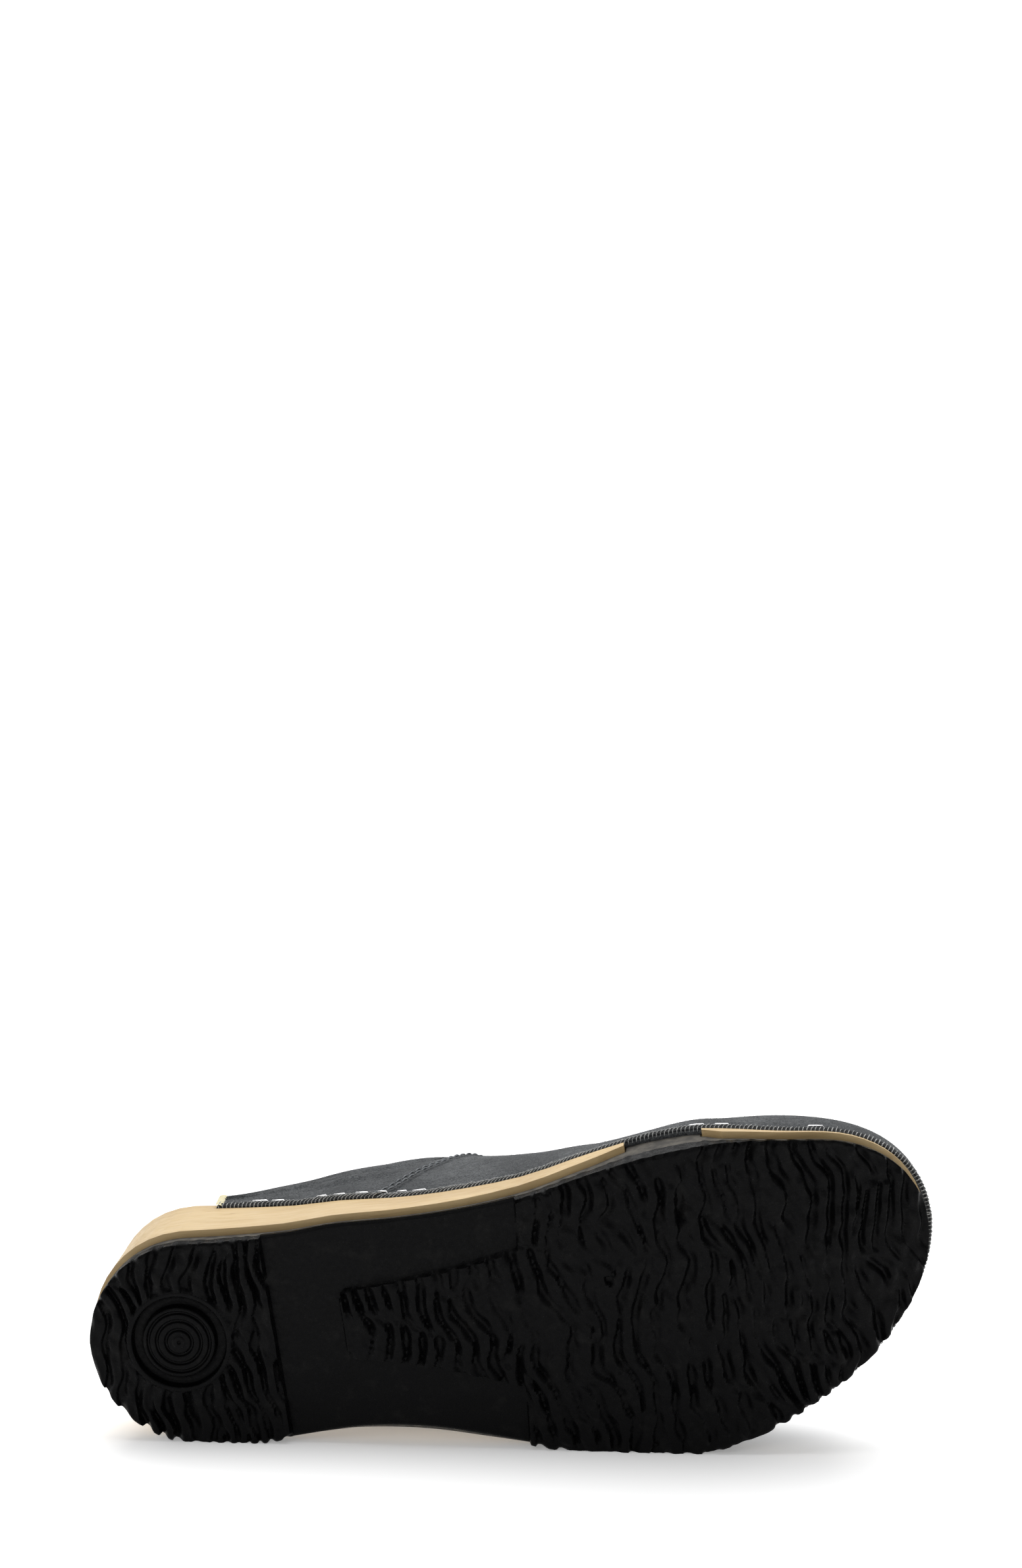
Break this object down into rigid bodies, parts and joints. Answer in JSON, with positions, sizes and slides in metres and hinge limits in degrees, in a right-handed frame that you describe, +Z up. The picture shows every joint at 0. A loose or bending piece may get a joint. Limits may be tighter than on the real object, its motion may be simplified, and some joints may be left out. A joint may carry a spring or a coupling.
{
  "type": "clog",
  "caption": "Left open-back clog: hollow suede upper on a two-piece wooden sole, joined by a rubber outsole with a flex bridge and a ribbed tread.",
  "frame": {"origin": "bottom centre of the bounding box of the clog as it lies on its lateral side", "axes": "+X from heel to toe along the floor, +Y from the tread to the instep, +Z up, towards the medial side"},
  "size_m": [0.2528, 0.0886, 0.102],
  "materials": {
    "rubber": "satin black",
    "wood": "pale, bare, fine grain",
    "suede": "slate-grey nap"
  },
  "bodies": {
    "root": {"outsole": "rubber", "wood_sole_rear": "wood", "wood_sole_front": "wood", "upper": "suede"}
  },
  "joints": []
}
